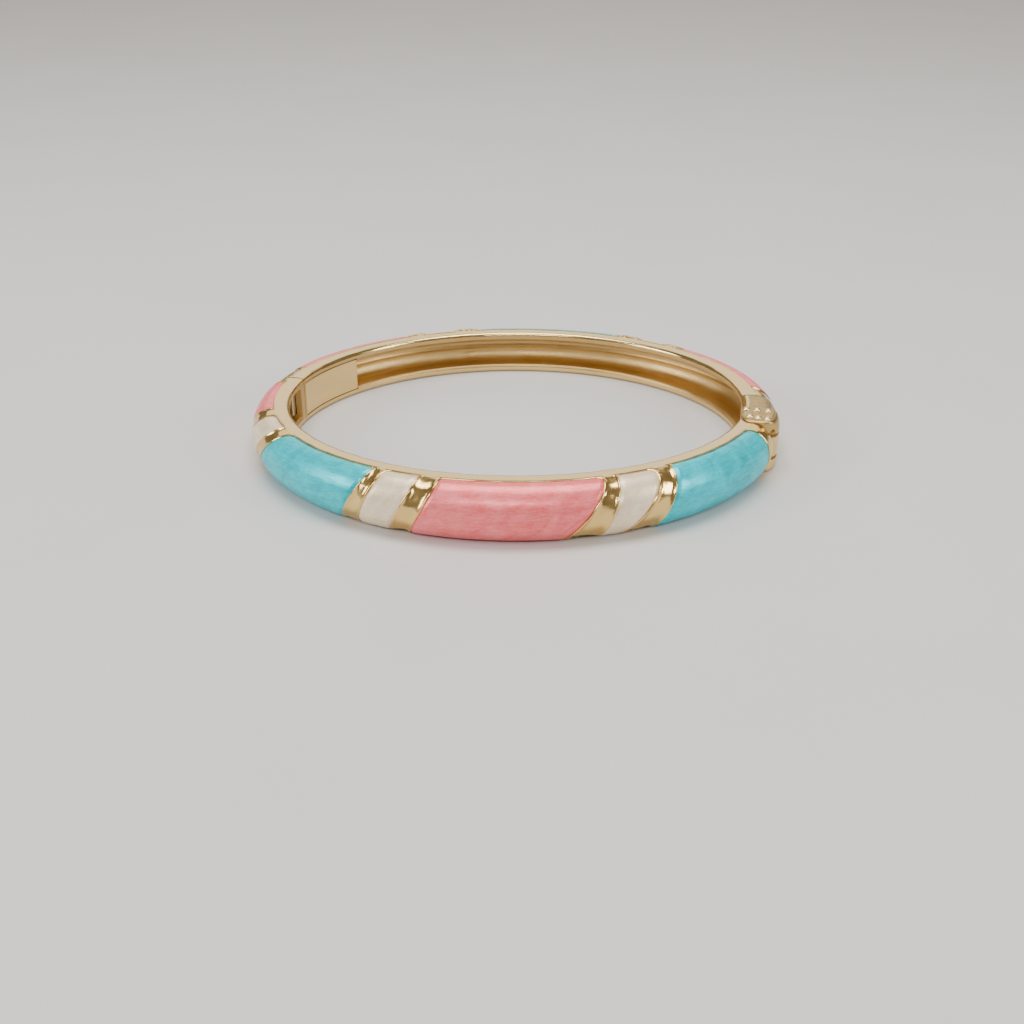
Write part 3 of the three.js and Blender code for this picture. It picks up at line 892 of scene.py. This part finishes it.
# %% [markdown]
# ## Hinge knuckles and beads
# The barrel hinge has three drums on one pin. Each drum is dressed back after soldering so that
# it swells gently out of the band. A ray from the pin finds how far the drum may reach before it
# meets that swell, and the two shapes blend softly where they meet. The lower two drums are bored
# for the pin. The top one stays closed, and carries six beads and a notch.

# %% Make the knuckles
def ring_place(x, y):
    """The ring angle and the distance out of the opening of a place near the hinge."""
    low, high = HINGE_ANGLE - 14, HINGE_ANGLE + 14
    for _ in range(22):
        middle = (low + high) / 2
        point, outward = oval_at(middle)
        side = outward.x * (y - point.y) - outward.y * (x - point.x)
        if side > 0:
            low = middle
        else:
            high = middle
    point, outward = oval_at(low)
    out = (x - point.x) * outward.x + (y - point.y) * outward.y
    return low, out


def swell_reach(bearing, z):
    """How far from the pin the rounded-over band reaches in one direction at one height."""
    share = abs(z - HINGE_HEIGHT / 2) / (HINGE_HEIGHT / 2 + 0.9)
    limit = RIM_WIDTH + (DOME_REACH + KNUCKLE_PROUD) * (1 - share ** 3) ** (1 / 3)
    near, far = 0.0, 6.0
    for _ in range(14):
        middle = (near + far) / 2
        degrees, out = ring_place(PIN.x + middle * math.cos(bearing), PIN.y + middle * math.sin(bearing))
        grown = out * MEAN_THICKNESS / tapered(FRONT_THICKNESS, BACK_THICKNESS, degrees)
        if grown < limit and out > 0.02:
            near = middle
        else:
            far = middle
    return near


DRUM_SIDES = 72


def drum_mesh(bottom, top, rounding=0.28, bore=0.0):
    """A closed drum whose side follows the smaller of its own radius and the band's swell."""
    rows = [(0.02, 0, bottom), (0.5, 0, bottom), (0.9, 0, bottom)]
    for step in range(5):
        turn = math.pi / 2 * step / 4
        rows.append((1, rounding * (1 - math.sin(turn)), bottom + rounding * (1 - math.cos(turn))))
    body = max(3, round((top - bottom - 2 * rounding) / 0.25))
    for step in range(1, body):
        rows.append((1, 0, bottom + rounding + (top - bottom - 2 * rounding) * step / body))
    rows += [(share, inset, bottom + top - z) for share, inset, z in reversed(rows[:8])]
    reaches = {}

    def reach(side, z):
        key = (side % DRUM_SIDES, round(z, 3))
        if key not in reaches:
            swell = swell_reach(2 * math.pi * side / DRUM_SIDES, z)
            reaches[key] = (KNUCKLE_RADIUS ** -12 + max(swell, 0.3) ** -12) ** (-1 / 12)
        return reaches[key]

    def place(column, row):
        share, inset, z = rows[row]
        bearing = 2 * math.pi * column / DRUM_SIDES
        radius = max((reach(column, z) - inset) * share, bore)
        return Vector((PIN.x + radius * math.cos(bearing), PIN.y + radius * math.sin(bearing), z)) * MM

    bm = flat_grid(DRUM_SIDES + 1, len(rows))
    bend(bm, place)
    bmesh.ops.remove_doubles(bm, verts=bm.verts, dist=0.001 * MM)
    rims = [edge for edge in bm.edges if edge.is_boundary]
    if bore > 0:
        bmesh.ops.bridge_loops(bm, edges=rims)
    else:
        bmesh.ops.holes_fill(bm, edges=rims, sides=0)
    bmesh.ops.recalc_face_normals(bm, faces=bm.faces)
    return bm


BEADS = [(28.72, -5.5), (30.0, -5.75), (31.35, -6.12), (28.8, -7.75), (29.75, -8.3), (30.8, -8.75)]
BEAD_RADIUS = 0.46
NOTCH_BEARING = math.radians(-60)
NOTCH_HEIGHT = TOP_DRUM[0] + 0.45
block_top = HINGE_HEIGHT + BLOCK_RISE + 0.06
top_drum = drum_mesh(TOP_DRUM[0], block_top)
notch = bmesh.new()
notch_out = Vector((math.cos(NOTCH_BEARING), math.sin(NOTCH_BEARING), 0))
notch_reach = min(KNUCKLE_RADIUS, swell_reach(NOTCH_BEARING, NOTCH_HEIGHT))
notch_place = Vector((PIN.x, PIN.y, NOTCH_HEIGHT)) + notch_out * notch_reach
notch_at = Matrix.Translation(notch_place * MM)
notch_aim = notch_out.to_track_quat("Z", "Y").to_matrix().to_4x4()
bmesh.ops.create_cone(notch, cap_ends=True, segments=4, radius1=0.15 * MM, radius2=0.95 * MM,
                      depth=1.3 * MM, matrix=notch_at @ notch_aim)
print("notch at mm:", [round(v, 2) for v in notch_place])
top_drum = with_cuts(top_drum, [notch], [])
for face in top_drum.faces:
    from_notch = face.calc_center_median() / MM - notch_place
    in_notch = from_notch.length < 0.7 and from_notch.dot(notch_out) < -0.05
    face.material_index = 2 if in_notch else 1
for x, y in BEADS:
    at = Matrix.Translation(Vector((x, y, block_top)) * MM)
    size = Matrix.Diagonal((1, 1, 0.8, 1))
    bmesh.ops.create_uvsphere(top_drum, u_segments=24, v_segments=14, radius=BEAD_RADIUS * MM,
                              matrix=at @ size)
finish_piece("top_knuckle", top_drum, "back_half", "gold_plate", [bead_gold, stippled_gold, cast_gold])
bottom_drum = drum_mesh(*BOTTOM_DRUM, bore=PIN_BORE)
finish_piece("bottom_knuckle", bottom_drum, "back_half", "gold_plate", [polished_gold])
middle_drum = drum_mesh(*MIDDLE_DRUM, bore=PIN_BORE)
finish_piece("middle_knuckle", middle_drum, "front_half", "gold_plate", [polished_gold])

# %% Make the pin
pin_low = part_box("hinge_pin")[0].z
pin_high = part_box("hinge_pin")[1].z
pin_mesh = bmesh.new()
pin_at = Matrix.Translation(Vector((PIN.x * MM, PIN.y * MM, (pin_low + pin_high) / 2)))
bmesh.ops.create_cone(pin_mesh, cap_ends=True, segments=40, radius1=PIN_RADIUS * MM,
                      radius2=PIN_RADIUS * MM, depth=pin_high - pin_low, matrix=pin_at)
pin_rims = [edge for edge in pin_mesh.edges if abs(edge.verts[0].co.z - edge.verts[1].co.z) < 1e-6]
bmesh.ops.bevel(pin_mesh, geom=pin_rims, offset=0.12 * MM, segments=3, affect="EDGES", profile=0.5,
                material=-1)
hinge_pin = finish_piece("pin", pin_mesh, "back_half", "spring_steel", [spring_metal])
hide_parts("hinge_pin")

# %% [markdown]
# ## Clasp
# A springy leaf folded on a tongue snaps behind the wall of a box. A bright plate closes the box
# towards the wrist, and a small ribbed tab on the leaf stands in a notch so a thumb can press it.

# %% Make the clasp's pieces
cover_mesh = bent_block((COVER_START, 0, -COVER_HALF), (COVER_END, COVER_DEPTH, COVER_HALF),
                        along_inner_wall, 40, 0.09)
cover = finish_piece("clasp_plate", cover_mesh, "back_half", "gold_plate", [polished_gold])
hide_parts("clasp_cover")
tongue_mesh = bent_block((-2.4, TONGUE_NEAR, -TONGUE_HALF), (5.4, TONGUE_FAR, TONGUE_HALF), about_pin,
                         16, 0.1)
tongue = finish_piece("tongue", tongue_mesh, "front_half", "spring_steel", [spring_metal])
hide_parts("tongue_plate")


def on_leaf(inwards, out, up):
    """A place on the leaf, which stands off the tongue more towards the seam."""
    share = (LEAF_FOLD - inwards) / (LEAF_FOLD - LEAF_FREE)
    return about_pin(inwards, out + LEAF_LIFT * share, up)


leaf_mesh = bent_block((LEAF_FREE, LEAF_NEAR, -TONGUE_HALF), (LEAF_FOLD, LEAF_FAR, TONGUE_HALF), on_leaf,
                       12, 0.08)
leaf = finish_piece("spring_leaf", leaf_mesh, "catch", "spring_steel", [spring_metal])
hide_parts("catch_leaf")


def on_tab(inwards, out, up):
    """The tab's outer face carries three ribs for the thumb."""
    rib = RIB_HEIGHT * math.cos(2 * math.pi * (inwards - TAB_START) / RIB_PITCH)
    rib *= smooth_step((out - 4.2) / 0.3)
    return about_pin(inwards, out - 0.05 - rib, up)


tab_mesh = bent_block((TAB_START, 2.56, -TAB_HALF), (TAB_END, TAB_TOP, TAB_HALF), on_tab, 36, 0.1)
tab = finish_piece("ribbed_tab", tab_mesh, "catch", "gold_plate", [polished_gold])
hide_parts("thumb_tab")

# %% [markdown]
# ## Floor, lights and camera
# Jewellery is lit by large soft boxes, because polished gold shows whatever stands around it. A
# pale floor fills the shadows from below, and two darker gaps between the lights give contrast.

# %% The pale floor
floor_material, floor_nodes, floor_links, floor_shader = new_material("pale_floor")
floor_place = floor_nodes.new("ShaderNodeTexCoord")
floor_noise = add_node(floor_nodes, "ShaderNodeTexNoise", Scale=30, Detail=3)
floor_links.new(floor_place.outputs["Object"], floor_noise.inputs["Vector"])
floor_colour = mix_colours(floor_nodes, floor_links, floor_noise.outputs["Fac"],
                           (0.60, 0.585, 0.57), (0.66, 0.645, 0.63))
floor_links.new(floor_colour, floor_shader.inputs["Base Color"])
floor_shader.inputs["Roughness"].default_value = 0.6
floor_bm = bmesh.new()
bmesh.ops.create_grid(floor_bm, x_segments=8, y_segments=8, size=1.2)
bmesh.ops.translate(floor_bm, vec=(0, 0, -0.00002), verts=floor_bm.verts)
floor_mesh = bpy.data.meshes.new("floor")
floor_bm.to_mesh(floor_mesh)
floor_bm.free()
floor_mesh.materials.append(floor_material)
floor = bpy.data.objects.new("floor", floor_mesh)
bpy.context.scene.collection.objects.link(floor)
floor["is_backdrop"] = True

# %% The lights
def soft_box(name, place, aim, size, power, colour=(1, 1, 1)):
    """A large area light at a place in metres, turned towards another."""
    light = bpy.data.lights.new(name, "AREA")
    light.shape = "RECTANGLE"
    light.size, light.size_y = size
    light.energy = power
    light.color = colour
    lamp = bpy.data.objects.new(name, light)
    lamp.location = place
    lamp.rotation_euler = (Vector(aim) - Vector(place)).to_track_quat("-Z", "Y").to_euler()
    bpy.context.scene.collection.objects.link(lamp)


soft_box("overhead_box", (0, 0.02, 0.42), (0, 0, 0), (0.34, 0.20), 2.0, (1, 0.98, 0.95))
soft_box("back_box", (0, 0.60, 0.31), (0, 0, 0.003), (0.90, 0.34), 1.35, (1, 0.97, 0.90))
soft_box("left_box", (-0.40, -0.12, 0.20), (0, 0, 0.003), (0.20, 0.20), 1.15)
soft_box("right_box", (0.36, -0.16, 0.18), (0, 0, 0.003), (0.10, 0.20), 0.8)
soft_box("front_strip", (-0.04, -0.38, 0.30), (0, 0, 0.003), (0.26, 0.05), 0.75)
world = bpy.data.worlds.new("studio")
world.use_nodes = True
world.node_tree.nodes["Background"].inputs["Color"].default_value = (0.60, 0.55, 0.50, 1)
world.node_tree.nodes["Background"].inputs["Strength"].default_value = 0.38
bpy.context.scene.world = world

# %% The camera
camera_data = bpy.data.cameras.new("camera")
camera_data.sensor_width = 36
camera_data.lens = 49.22
camera_data.clip_start = 0.01
camera = bpy.data.objects.new("camera", camera_data)
camera.location = (-0.00051, -0.16717, 0.07414)
camera.rotation_euler = (math.radians(63.22), 0, 0)
bpy.context.scene.collection.objects.link(camera)
bpy.context.scene.camera = camera

# %% Print the sizes of the working model and of the finished scene
visual_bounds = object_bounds()
boxes = {"cad": [list(corner) for corner in cad_bounds], "visual": [list(corner) for corner in visual_bounds]}
for name, box in boxes.items():
    print(name, "box in mm:", [[round(v / MM, 2) for v in corner] for corner in box])
